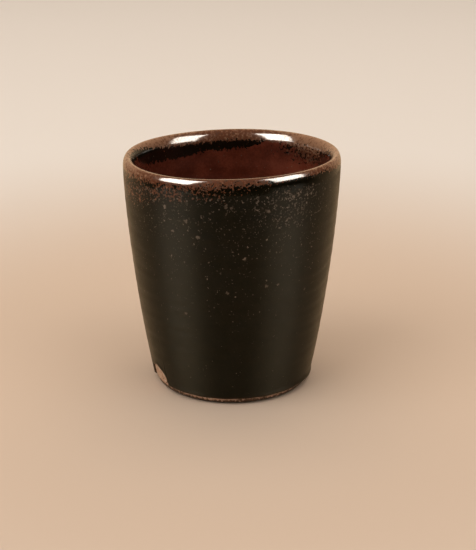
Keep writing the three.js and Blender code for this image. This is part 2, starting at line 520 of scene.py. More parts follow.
class Wiring:
    """Adds shader nodes to a node tree and joins them."""

    def __init__(self, tree: bpy.types.NodeTree) -> None:
        """Keeps the tree that the nodes go into."""
        self.tree = tree

    def feed(self, socket: Socket, value: Value) -> None:
        """Gives a socket a number, a colour or another node's output.

        Args:
            socket: Input to fill.
            value: What goes in.
        """
        if isinstance(value, bpy.types.NodeSocket):
            self.tree.links.new(value, socket)
        elif socket.type == "RGBA":
            socket.default_value = (*value, 1.0)
        else:
            socket.default_value = value

    def node(self, kind: str, inputs: Mapping[Union[int, str], Value], **options: str) -> bpy.types.Node:
        """Adds one node.

        Args:
            kind: Blender's name of it after ShaderNode.
            inputs: What goes into its inputs, by number or name.
            options: Its settings.

        Returns:
            The node.
        """
        node = self.tree.nodes.new("ShaderNode" + kind)
        for name, option in options.items():
            setattr(node, name, option)
        for socket, value in inputs.items():
            self.feed(node.inputs[socket], value)
        return node

    def math(self, operation: str, *values: Value) -> Socket:
        """Works out one sum of numbers, by Blender's name of the operation."""
        return self.node("Math", dict(enumerate(values)), operation=operation).outputs[0]

    def vector(self, operation: str, *values: Value) -> Socket:
        """Works out one sum of vectors, which is a number for a length or distance and else a vector."""
        node = self.node("VectorMath", dict(enumerate(values)), operation=operation)
        return node.outputs["Value" if operation in ("LENGTH", "DISTANCE") else "Vector"]

    def total(self, weights: Weights, *values: Value) -> Socket:
        """Adds up values, each times its weight.

        Args:
            weights: One weight for each value.
            values: Numbers or outputs. A value of 1 makes its weight a constant.

        Returns:
            The sum.
        """
        result: Value = 0.0
        for weight, value in zip(weights, values):
            result = self.math("MULTIPLY_ADD", value, weight, result)
        return result

    def step(self, ramp: Ramp, value: Value) -> Socket:
        """Rises smoothly from 0 at the ramp's start to 1 at its end."""
        inputs = {"Value": value, "From Min": ramp.start, "From Max": ramp.end}
        return self.node("MapRange", inputs, interpolation_type="SMOOTHSTEP").outputs[0]

    def mix(self, share: Value, first: Value, second: Value) -> Socket:
        """Blends two colours, with a share of 0 for the first and 1 for the second."""
        inputs = {MIX_SHARE: share, MIX_FIRST: first, MIX_SECOND: second}
        return self.node("Mix", inputs, data_type="RGBA").outputs[MIX_RESULT]

    def ray(self, kind: str) -> Socket:
        """1 for rays of a kind, by Blender's name of it, and 0 for others."""
        return self.node("LightPath", {}).outputs[kind]

    def part(self, axis: str, vector: Socket) -> Socket:
        """One part of a vector, by the name of its axis."""
        return self.node("SeparateXYZ", {0: vector}).outputs[axis]


NOISE_WAY = (1.0, 1.7, -0.6)
SPECK_LEVEL = (-0.16, 0.76)
SPECK_EDGE = Ramp(-0.015, 0.035)
SPOT_EDGE = (1.15, 0.6)


@dataclass(frozen=True)
class Cloud:
    """Soft noise: its size, number of finer layers, how far it is moved and the layers' weight."""

    size: float
    detail: float
    shift: float
    roughness: float = 0.55

    def sizes(self) -> dict[str, float]:
        """Inputs of the noise node."""
        return {"Scale": 1.0 / self.size, "Detail": self.detail, "Roughness": self.roughness}


@dataclass(frozen=True)
class Layer:
    """A pattern of a finish: its noise, the weights of the noise and of what is added, and its edge."""

    cloud: Cloud
    mix: Weights
    edge: Ramp


class Graph(Wiring):
    """Wires up one material round a principled shader, with places in millimetres."""

    def __init__(self, name: str) -> None:
        """Makes an empty material with a shader and an output.

        Args:
            name: Name of the material.
        """
        self.material = bpy.data.materials.new(name)
        self.material.use_nodes = True
        super().__init__(self.material.node_tree)
        self.tree.nodes.clear()
        self.shader = self.node("BsdfPrincipled", {})
        self.node("OutputMaterial", {"Surface": self.shader.outputs["BSDF"]})
        metres = self.node("TexCoord", {}).outputs["Object"]
        self.place = self.vector("MULTIPLY", metres, (1.0 / MM,) * 3)

    def dress(self, inputs: Mapping[str, Value]) -> bpy.types.Material:
        """Fills inputs of the shader.

        Args:
            inputs: What goes into each, by name.

        Returns:
            The material.
        """
        for name, value in inputs.items():
            self.feed(self.shader.inputs[name], value)
        return self.material

    def trait(self, trait: Trait) -> Socket:
        """Value of one of the piece's own attributes."""
        return self.node("Attribute", {}, attribute_name=trait.value).outputs["Fac"]

    def noise(self, cloud: Cloud) -> Socket:
        """Cloudy noise from 0 to 1, moved aside so that two patterns don't repeat each other."""
        aside = self.vector("ADD", self.place, tuple(cloud.shift * part for part in NOISE_WAY))
        return self.node("TexNoise", {"Vector": aside, **cloud.sizes()}).outputs["Fac"]

    def layer(self, layer: Layer, *values: Value) -> Socket:
        """Share of a pattern, from its noise weighed together with other values."""
        return self.step(layer.edge, self.total(layer.mix, self.noise(layer.cloud), *values))

    def specks(self, cloud: Cloud, amount: Value) -> Socket:
        """1 within ragged specks, the peaks of a noise above a level that sinks as the amount grows."""
        level = self.total(SPECK_LEVEL, amount, 1.0)
        return self.step(SPECK_EDGE, self.math("SUBTRACT", self.noise(cloud), level))

    def spot(self, centre: Sequence[float], radius: float, place: Socket) -> Socket:
        """1 within a speck round a centre, at a place that may be bent to make the speck ragged."""
        start, end = SPOT_EDGE
        return self.step(Ramp(start * radius, end * radius), self.vector("DISTANCE", place, centre))

    def ragged(self, size: float, reach: float) -> Socket:
        """The place pushed about by noise.

        Args:
            size: Size of the noise.
            reach: How far it pushes.

        Returns:
            The bent place.
        """
        noise = self.node("TexNoise", {"Vector": self.place, "Scale": 1.0 / size}).outputs["Color"]
        push = self.vector("MULTIPLY_ADD", noise, (2 * reach,) * 3, (-reach,) * 3)
        return self.vector("ADD", self.place, push)

    def bump(self, height: Value, depth: float, strength: float) -> Socket:
        """Normal of a roughened skin, for a pattern that stands out by a depth in millimetres."""
        inputs = {"Strength": strength, "Distance": depth * MM, "Height": height}
        return self.node("Bump", inputs).outputs["Normal"]


@dataclass(frozen=True)
class Specks:
    """One kind of speck: its noise, how many more than the trait says, and how strong."""

    cloud: Cloud
    more: float
    strength: float = 1.0


@dataclass(frozen=True)
class Glaze:
    """A fired iron glaze: olive-black or red ground that breaks to rust grains and pale specks."""

    name: str
    spots: Sequence[Sequence[float]] = ()
    black: Colour = (0.0027, 0.0027, 0.0008)
    brown_black: Colour = (0.0056, 0.0042, 0.0015)
    red: Colour = (0.190, 0.0440, 0.0240)
    deep_red: Colour = (0.080, 0.0170, 0.0090)
    dim_rust: Colour = (0.094, 0.0465, 0.0315)
    rust: Colour = (0.124, 0.0415, 0.0210)
    pale_rust: Colour = (0.300, 0.162, 0.103)
    speck: Colour = (0.172, 0.132, 0.106)
    dull_speck: Colour = (0.070, 0.053, 0.042)
    sheen: Colour = (1.0, 0.97, 0.88)
    thin_brown: Colour = (0.060, 0.026, 0.013)
    satin: float = 0.35
    gloss: float = 0.12
    coat_roughness: float = 0.13
    specular: float = 0.12
    fine: Cloud = Cloud(0.8, 2.0, 5.0)
    broad: Cloud = Cloud(4.5, 2.0, 31.0)
    ground_mix: Weights = (0.5, 0.5)
    ground_edge: Ramp = Ramp(0.38, 0.64)
    streaks: Layer = Layer(Cloud(7.0, 3.0, 3.0), (0.65, 0.35, 0.3), Ramp(0.28, 0.78))
    red_grains: Layer = Layer(Cloud(1.1, 2.0, 77.0, 0.6), (-4.6, 1.0, 1.8), Ramp(-0.08, 0.08))
    rust_grains: Layer = Layer(Cloud(0.95, 2.0, 63.0, 0.65), (-4.6, -1.2, 1.0, 2.4), Ramp(-0.05, 0.05))
    tones: Cloud = Cloud(1.1, 2.0, 51.0, 0.6)
    tone_mix: Weights = (3.0, 1.0, -1.5)
    dim_edge: Ramp = Ramp(-0.6, 0.0)
    pale_edge: Ramp = Ramp(0.0, 1.0)
    speck_kinds: Sequence[Specks] = (
        Specks(Cloud(1.15, 2.0, 12.0, 0.5), 0.05),
        Specks(Cloud(2.0, 2.0, 140.0, 0.5), -0.20),
        Specks(Cloud(0.80, 2.0, 207.0, 0.5), 0.18, 0.60),
    )
    spot_noise: float = 0.8
    spot_push: float = 0.9
    speck_tones: Layer = Layer(Cloud(1.9, 2.0, 28.0), (1.0,), Ramp(0.36, 0.66))
    wet_mix: Weights = (1.0, -0.3, 0.15)
    coat_edge: Ramp = Ramp(0.78, 0.98)
    gloss_edge: Ramp = Ramp(0.1, 0.5)
    patches: Cloud = Cloud(9.0, 2.0, 15.0)
    patch_mix: Weights = (0.22, 0.16, -0.19)
    peel: Cloud = Cloud(1.6, 2.0, 91.0)
    peel_mix: Weights = (0.6, 0.5, 0.4, 1.2)
    peel_depth: float = 0.018
    peel_strength: float = 0.7

    def ground(self, graph: Graph, fine: Socket, broad: Socket) -> Socket:
        """Colour without rust: cloudy black, brown where it is thin, red where the trait outweighs grains.

        Args:
            graph: Material to wire.
            fine: Fine noise.
            broad: Broad noise.

        Returns:
            The colour.
        """
        cloud = graph.total(self.ground_mix, broad, fine)
        ground = graph.mix(graph.step(self.ground_edge, cloud), self.black, self.brown_black)
        ground = graph.mix(graph.trait(Trait.THIN), ground, self.thin_brown)
        streaks = graph.layer(self.streaks, fine, graph.trait(Trait.PALE))
        liner = graph.mix(streaks, self.deep_red, self.red)
        return graph.mix(graph.layer(self.red_grains, graph.trait(Trait.RED), 1.0), ground, liner)

    def specks(self, graph: Graph) -> Socket:
        """Where the specks lie: those of each kind, and larger ones at chosen points.

        Args:
            graph: Material to wire.

        Returns:
            1 within a speck and 0 outside.
        """
        amount = graph.trait(Trait.SPECKS)
        found: Value = 0.0
        for kind in self.speck_kinds:
            more = graph.specks(kind.cloud, graph.math("ADD", amount, kind.more))
            found = graph.math("MAXIMUM", found, graph.math("MULTIPLY", more, kind.strength))
        bent = graph.ragged(self.spot_noise, self.spot_push)
        for *centre, radius in self.spots:
            found = graph.math("MAXIMUM", found, graph.spot(centre, radius, bent))
        return found

    def material(self) -> bpy.types.Material:
        """Wires the glaze: each grain of noise goes to rust where its trait outweighs it.

        Returns:
            The material.
        """
        graph = Graph(self.name)
        fine = graph.noise(self.fine)
        broad = graph.noise(self.broad)
        rust_share = graph.layer(self.rust_grains, broad, graph.trait(Trait.RUST), 1.0)
        # The tone follows the pale trait, which is partly painted reflection at the lip's sides.
        tone = graph.total(self.tone_mix, graph.noise(self.tones), graph.trait(Trait.PALE), 1.0)
        rust = graph.mix(graph.step(self.dim_edge, tone), self.dim_rust, self.rust)
        rust = graph.mix(graph.step(self.pale_edge, tone), rust, self.pale_rust)
        colour = graph.mix(rust_share, self.ground(graph, fine, broad), rust)
        specks = self.specks(graph)
        pale_share = graph.layer(self.speck_tones)
        colour = graph.mix(specks, colour, graph.mix(pale_share, self.dull_speck, self.speck))
        wet = graph.total(self.wet_mix, graph.trait(Trait.GLOSS), fine, 1.0)
        glossy = (self.gloss - self.satin, 1.0, self.satin)
        patch = graph.total(self.patch_mix, graph.noise(self.patches), fine, 1.0)
        peel = graph.total(self.peel_mix, graph.noise(self.peel), fine, specks, rust_share)
        return graph.dress({
            "Base Color": colour,
            "Roughness": graph.total(glossy, graph.step(self.gloss_edge, wet), patch, 1.0),
            "Coat Weight": graph.step(self.coat_edge, wet),
            "Coat Roughness": self.coat_roughness,
            "Specular IOR Level": self.specular,
            "Specular Tint": self.sheen,
            "Normal": graph.bump(peel, self.peel_depth, self.peel_strength),
        })


@dataclass(frozen=True)
class BareClay:
    """Fired stoneware without glaze: brown and gritty, pink in the finger mark.

    Below the glaze edge it has painted highlights, and where it stands painted contact shade.
    """

    name: str
    clay: Colour = (0.050, 0.026, 0.0150)
    light_clay: Colour = (0.098, 0.054, 0.0330)
    pink: Colour = (0.520, 0.335, 0.245)
    # Pale: random bits in the finger mark, and painted highlights on the clay just below the glaze edge.
    pale: Colour = (0.640, 0.520, 0.440)
    grit: Colour = (0.060, 0.034, 0.023)
    # Painted contact shade: near-black laid on the foot's bottom for the shadow where it meets the table.
    contact_shade: Colour = (0.008, 0.005, 0.003)
    clouds: Layer = Layer(Cloud(3.5, 4.0, 8.0), (1.0,), Ramp(0.35, 0.65))
    # Noise for the finger mark's flashing and for the painted highlights below the glaze edge.
    flash_and_glint_noise: Cloud = Cloud(1.2, 3.0, 19.0)
    flash_and_glint_mix: Weights = (2.4, 1.0)
    pink_edge: Ramp = Ramp(1.35, 1.75)
    pale_edge: Ramp = Ramp(2.00, 2.30)
    grains: Specks = Specks(Cloud(1.3, 2.0, 61.0, 0.5), 0.75, 0.7)
    skin: Cloud = Cloud(0.5, 3.0, 44.0)
    roughness_mix: Weights = (0.3, 0.35)
    specular: float = 0.15
    bump_mix: Weights = (-0.5, 1.0)
    bump_depth: float = 0.05
    bump_strength: float = 0.7

    def material(self) -> bpy.types.Material:
        """Wires the clay: cloudy brown, pink and pale flashing with painted highlights, dark grit, painted
        contact shade and a rough skin.

        Returns:
            The material.
        """
        graph = Graph(self.name)
        colour = graph.mix(graph.layer(self.clouds), self.clay, self.light_clay)
        # Pink and pale: flashing in the finger mark, and painted highlights below the glaze edge.
        flash_and_glint = graph.total(self.flash_and_glint_mix, graph.noise(self.flash_and_glint_noise), graph.trait(Trait.FLASH_AND_GLINT))
        colour = graph.mix(graph.step(self.pink_edge, flash_and_glint), colour, self.pink)
        colour = graph.mix(graph.step(self.pale_edge, flash_and_glint), colour, self.pale)
        grit = graph.specks(self.grains.cloud, self.grains.more)
        colour = graph.mix(graph.math("MULTIPLY", grit, self.grains.strength), colour, self.grit)
        skin = graph.noise(self.skin)
        rough = graph.total(self.bump_mix, grit, skin)
        return graph.dress({
            # The foot's bottom is darkened by painted contact shade.
            "Base Color": graph.mix(graph.trait(Trait.CONTACT_SHADE), colour, self.contact_shade),
            "Roughness": graph.total(self.roughness_mix, skin, 1.0),
            "Specular IOR Level": self.specular,
            "Normal": graph.bump(rough, self.bump_depth, self.bump_strength),
        })


@dataclass(frozen=True)
class GlazeMap:
    """Where the glaze breaks: how much rust, red, speck and gloss each point of the coats has."""

    form: ThrownForm
    rust_edge: Knots = (
        (-100, 2.6), (-60, 1.9), (-25, 1.9), (-8, 1.6), (0, 1.4), (12, 1.2), (30, 1.3), (60, 1.8),
        (100, 2.6), (180, 2.8), (220, 2.6),
    )
    # Paler toward the left and right: partly the glaze's own pale rust, partly painted reflection of the
    # pale room where the front view sees the lip edge-on.
    pale: Knots = (
        (-180, 0.05), (-150, 0.35), (-130, 0.85), (-95, 0.90), (-60, 0.55), (-35, 0.1), (-10, -0.1),
        (10, -0.1), (35, 0.05), (60, 0.55), (95, 0.90), (130, 0.95), (150, 0.40),
    )
    mottle: Knots = (
        (-100, 0.56), (-60, 0.65), (-25, 0.67), (-8, 0.64), (5, 0.58), (18, 0.36), (45, 0.24), (65, 0.42),
        (100, 0.60), (180, 0.58), (230, 0.60),
    )
    mottle_reach: Knots = (
        (-90, 19.0), (-60, 19.0), (-42, 14.5), (-28, 12.0), (0, 11.0), (20, 7.5), (45, 6.0), (70, 9.0),
        (130, 11.0), (200, 11.0),
    )
    band_top: Knots = (
        (-180, 4.2), (-166, 4.6), (-150, 4.9), (-136, 4.2), (-121, 2.6), (-105, 1.1), (-90, 0.6), (0, 2.8),
        (90, 0.6), (120, 2.4), (135, 3.2), (150, 3.8), (166, 4.2),
    )
    band_foot: Knots = (
        (-180, 7.9), (-166, 8.0), (-157, 8.2), (-150, 9.9), (-136, 9.2), (-121, 9.2), (-109, 7.0),
        (-96, 2.8), (-60, 4.5), (0, 6.5), (60, 5.5), (95, 2.0), (150, 1.8), (157, 2.7), (163, 5.7),
        (170, 7.0),
    )
    band_blur: float = 4.0
    no_rust: float = -1.3
    solid_rust: float = 2.9
    grain_rust: float = 2.3
    solid_fade: Ramp = Ramp(3.2, -2.4)
    mottle_fade: Ramp = Ramp(4.0, -8.0)
    mottle_dimming: float = 0.25
    no_red: float = -1.6
    wall_specks: Ramp = Ramp(76.0, 26.0, 0.27)
    right_specks: Bell = Bell(0.58, 32.0, 24.0)
    left_specks: Bell = Bell(0.36, -38.0, 30.0)
    top_speck_fade: Ramp = Ramp(34.0, 7.0)
    speck_start: Ramp = Ramp(3.0, 6.0)
    gloss_fade: Ramp = Ramp(8.0, 1.2)
    dull_sides: Bell = Bell(0.7, 95.0, 34.0)
    inner_solid_fade: Ramp = Ramp(2.4, -2.0)
    inner_right: Bell = Bell(1.0, 121.0, 32.0)
    inner_grains: Ramp = Ramp(20.0, 7.0, 0.86)
    inner_pale_fade: Ramp = Ramp(8.0, 3.0)
    inner_dimming: float = 0.2
    right_pale: Ramp = Ramp(8.0, 14.0, 0.9)
    deep_dimming: Ramp = Ramp(13.0, 22.0, 0.3)
    band_red: float = -0.5
    liner_red: Ramp = Ramp(-1.6, 2.0, 2.2)
    right_black: Ramp = Ramp(15.0, 4.0, 1.9)
    inner_specks: float = 0.05
    inner_dull_fade: Ramp = Ramp(5.0, 2.0)

    def rust(self, solid: Array, grains: Array) -> Array:
        """Rust where it is solid, and as many grains as are wanted where it isn't."""
        return self.no_rust + self.solid_rust * solid + (1.0 - solid) * self.grain_rust * grains

    def dull(self) -> Array:
        """How dull the lip is at the two sides."""
        return self.dull_sides.at(np.abs(self.form.angles))

    def outside(self, height: Array) -> Traits:
        """Traits of the outside: rust on the lip, mottled below it, then black with thinning specks.

        Args:
            height: Heights in rows, or in rows and columns.

        Returns:
            A grid for each trait.
        """
        angle = self.form.angles
        drop = self.form.height - height
        solid = self.solid_fade.at(drop - round_cup(angle, self.rust_edge))
        reach = round_cup(angle, self.mottle_reach)
        grains = round_cup(angle, self.mottle) * self.mottle_fade.at(drop - reach)
        rust = self.rust(solid, grains)
        sides = self.right_specks.at(angle) + self.left_specks.at(angle)
        specks = self.wall_specks.at(drop) + sides * self.top_speck_fade.at(drop)
        return {
            Trait.RUST: rust,
            Trait.PALE: round_cup(angle, self.pale) - self.mottle_dimming * (1.0 - solid),
            Trait.RED: np.full_like(rust, self.no_red),
            Trait.SPECKS: specks * self.speck_start.at(drop),
            Trait.GLOSS: self.gloss_fade.at(drop) * (1.0 - self.dull()),
            Trait.THIN: np.zeros_like(rust),
        }

    def inside(self, height: Array) -> Traits:
        """Traits of the inside: rust on the lip, a black band below it, then red down to the floor.

        Args:
            height: Heights in rows, or in rows and columns.

        Returns:
            A grid for each trait.
        """
        angle = self.form.angles
        drop = self.form.height - height
        top = round_cup(angle, self.band_top, self.band_blur)
        foot = round_cup(angle, self.band_foot, self.band_blur)
        solid = self.inner_solid_fade.at(drop - top)
        right = self.inner_right.at(angle)
        rust = self.rust(solid, right * self.inner_grains.at(drop))
        # Inside the lip it is paler toward the sides too: partly painted reflection.
        pale = round_cup(angle, self.pale) * self.inner_pale_fade.at(drop)
        pale = pale - self.inner_dimming * (1.0 - solid)
        pale = pale + right * self.right_pale.at(drop)
        pale = pale - (1.0 - right) * self.deep_dimming.at(drop)
        red = self.band_red + self.liner_red.at(drop - foot)
        red = red - right * self.right_black.at(drop)
        return {
            Trait.RUST: rust,
            Trait.PALE: pale,
            Trait.RED: red,
            Trait.SPECKS: np.full_like(rust, self.inner_specks),
            Trait.GLOSS: 1.0 - self.dull() * self.inner_dull_fade.at(drop),
            Trait.THIN: np.zeros_like(rust),
        }


def stacked(parts: Sequence[Traits]) -> Traits:
    """Sets the trait grids of a shell's stretches one above the other."""
    return {trait: np.concatenate([part[trait] for part in parts]) for trait in parts[0]}


@dataclass
class Piece(ABC):
    """A dressed piece of the cup that stands for one CAD node."""

    form: ThrownForm

    @abstractmethod
    def shell(self) -> Shell:
        """Works out the piece's mesh."""

    @abstractmethod
    def finish(self) -> Union[Glaze, BareClay]:
        """Chooses what the piece is dressed in."""

    def make(self) -> bpy.types.Object:
        """Builds the piece and dresses it in its finish.

        Returns:
            The piece.
        """
        piece = self.shell().build()
        piece.data.materials.append(self.finish().material())
        return piece


@dataclass
class Coat(Piece):
    """A glaze coat on the clay."""

    map: GlazeMap
    name: str = "coat"
    slot: str = "black_glaze"

    def finish(self) -> Glaze:
        """The glaze that is named after the coat's slot."""
        return Glaze(self.slot)


@dataclass
class OuterCoat(Coat):
    """The black coat on the outside, with a rolled lower edge and the bare finger mark."""

    name: str = "outer_coat"
    wall_rows: int = 140
    roll_rows: int = 12
    back_rows: int = 24
    roll_width: float = 0.75
    bead: Bell = Bell(0.20, 0.9, 0.9)
    swell: Knots = ((-180, 0.0), (25, 0.0), (50, 0.2), (66, 0.4), (76, 0.4), (90, 0.15), (105, 0.0))
    swell_blur: float = 4.0
    swell_height: float = 1.9
    settling: Waver = Waver(31, 50.0, 0.05)
    settling_top: Ramp = Ramp(84.0, 74.0)
    settling_foot: Ramp = Ramp(2.0, 8.0)
    thin_reach: float = 0.45
    spots: Sequence[tuple[float, float, float]] = (
        (-23.5, 77.8, 0.85), (-31.5, 73.3, 0.55), (-17.5, 72.0, 0.70), (6.5, 63.8, 0.75),
        (19.0, 51.9, 0.70), (25.5, 51.9, 0.65), (-2.5, 50.1, 0.60), (-27.0, 39.6, 0.65), (-3.0, 84.3, 0.80),
        (-0.5, 83.8, 0.65), (18.0, 82.0, 0.85), (32.0, 86.3, 0.65),
    )

    def spot(self, angle: float, height: float, radius: float) -> tuple[float, float, float, float]:
        """A larger speck of the wall as its place in space and its radius."""
        turn, reach = math.radians(angle), self.form.outer_radius(height)
        return reach * math.sin(turn), -reach * math.cos(turn), height, radius

    def finish(self) -> Glaze:
        """Black glaze with its larger specks."""
        return Glaze(self.slot, tuple(self.spot(*spot) for spot in self.spots))

    def coat(self, heights: Array, away: Array) -> Array:
        """Thickness: a quarter ellipse up from the edge, a low bead, a swell and slow unevenness.

        Args:
            heights: Heights of the points.
            away: Their distances from the edge.

        Returns:
            The thickness.
        """
        form = self.form
        rise = np.clip(away / self.roll_width, 0.0, 1.0)
        coat = form.wall_coat * np.sqrt(1.0 - (1.0 - rise) ** 2)
        coat = coat + rise * self.bead.at(away)
        swell = round_cup(form.angles, self.swell, self.swell_blur)
        coat = coat + swell * rise * Bell(1.0, 0.0, self.swell_height).at(away)
        settle = self.settling_top.at(heights) * self.settling_foot.at(away)
        return coat + settle * self.settling.at(form.angles, heights)

    def shell(self) -> Shell:
        """Builds the coat from its edge up the outside and back down along the clay.

        Returns:
            The closed shell.
        """
        form = self.form
        edge = form.glaze_edge()
        slope = np.gradient(edge, np.radians(form.angles) * form.base_radius)
        quarter = np.linspace(0.0, np.pi / 2, self.roll_rows, endpoint=False)
        roll = (1.0 - np.cos(quarter)) * self.roll_width
        climb = np.linspace(0.0, 1.0, self.wall_rows)[:, None]
        start = edge + self.roll_width
        heights = np.concatenate([edge + roll[:, None], start + climb * (form.band_height - start)])
        away = (heights - edge) / np.sqrt(1.0 + slope**2)
        sunk = form.wall_coat - self.coat(heights, away)
        wall = form.outer_wall
        face = form.surface(Side.OUTSIDE, wall, wall.share_at(heights), sunk)
        back_climb = np.linspace(1.0, 0.0, self.back_rows, endpoint=False)[:, None]
        back_heights = edge + back_climb * (form.band_height - edge)
        back = form.surface(Side.OUTSIDE, wall, wall.share_at(back_heights), form.wall_coat)
        traits = self.map.outside(heights)
        traits[Trait.THIN] = np.exp(-away / self.thin_reach)
        both = stacked([traits, self.map.outside(back_heights)])
        return Shell(self.name, "outer_glaze", self.slot, np.concatenate([face, back]), both)


@dataclass
class LipCoat(Coat):
    """The thin coat over the lip, where the outside and inside glazes lap."""

    name: str = "lip_coat"
    slot: str = "rust_glaze"
    band_rows: int = 9
    arc_rows: int = 18

    def shell(self) -> Shell:
        """Builds the coat up the outside, over the lip, down the inside and back along the clay.

        Its traits are the outside's up to the crest, and the inside's beyond it.

        Returns:
            The closed shell with its traits.
        """
        form = self.form
        up = np.linspace(form.band_share, 1.0, self.band_rows, endpoint=False)
        over = np.linspace(0.0, 1.0, self.arc_rows, endpoint=False)
        down = np.linspace(0.0, form.inner_band_share, self.band_rows)
        thinning = np.linspace(form.wall_coat, form.lip_coat, self.band_rows, endpoint=False)
        thickening = np.linspace(form.lip_coat, form.wall_coat, self.band_rows)
        thin = np.full(self.arc_rows, form.lip_coat)
        stretches = (
            (Side.OUTSIDE, form.outer_wall, up, thinning),
            (Side.OUTSIDE, form.outer_lip, over, thin),
            (Side.INSIDE, form.inner_lip, over, thin),
            (Side.INSIDE, form.inner_wall, down, thickening),
        )
        face = [form.surface(side, curve, share, 0.0) for side, curve, share, _ in stretches]
        back = [form.surface(side, curve, share, depth[:, None]) for side, curve, share, depth in stretches]
        rows = np.concatenate([*face, np.concatenate(back)[::-1]])
        profile = np.concatenate([curve.at(share) for _, curve, share, _ in stretches], axis=1)
        radius, height = profile[..., None]
        outside = self.map.outside(height)
        inside = self.map.inside(height)
        traits = {trait: np.where(radius < form.crest, inside[trait], outside[trait]) for trait in outside}
        mirrored = {trait: grid[::-1] for trait, grid in traits.items()}
        return Shell(self.name, "lip_glaze", self.slot, rows, stacked([traits, mirrored]))


@dataclass
class InnerCoat(Coat):
    """The glossy red-brown liner over the inside wall and the floor."""

    name: str = "inner_coat"
    slot: str = "red_glaze"
    wall_rows: int = 100
    corner_rows: int = 30
    floor_rows: int = 26
    back_rows: int = 20

    def shell(self) -> Shell:
        """Builds the liner from below the floor up behind the wall, and down the inside to the floor.

        Returns:
            The closed shell, with two poles on the axis.
        """
        form = self.form
        top = form.inner_band_share
        inward = np.linspace(1.0, 0.0, self.back_rows + 1)[1:]
        backs = (
            (form.floor, inward),
            (form.corner, inward),
            (form.inner_wall, np.linspace(1.0, top, self.back_rows + 1)[1:]),
        )
        faces = (
            (form.inner_wall, np.linspace(top, 1.0, self.wall_rows, endpoint=False)),
            (form.corner, np.linspace(0.0, 1.0, self.corner_rows, endpoint=False)),
            (form.floor, np.linspace(0.0, 1.0, self.floor_rows, endpoint=False)),
        )
        behind = [form.surface(Side.INSIDE, curve, share, form.wall_coat) for curve, share in backs]
        front = [form.surface(Side.INSIDE, curve, share, 0.0) for curve, share in faces]
        heights = [curve.at(share)[1][:, None] for curve, share in (*backs, *faces)]
        traits = stacked([self.map.inside(height) for height in heights])
        floor = form.floor_thickness
        poles = np.array([[0.0, 0.0, floor - form.wall_coat], [0.0, 0.0, floor]])
        return Shell(self.name, "inner_glaze", self.slot, np.concatenate(behind + front), traits, poles)


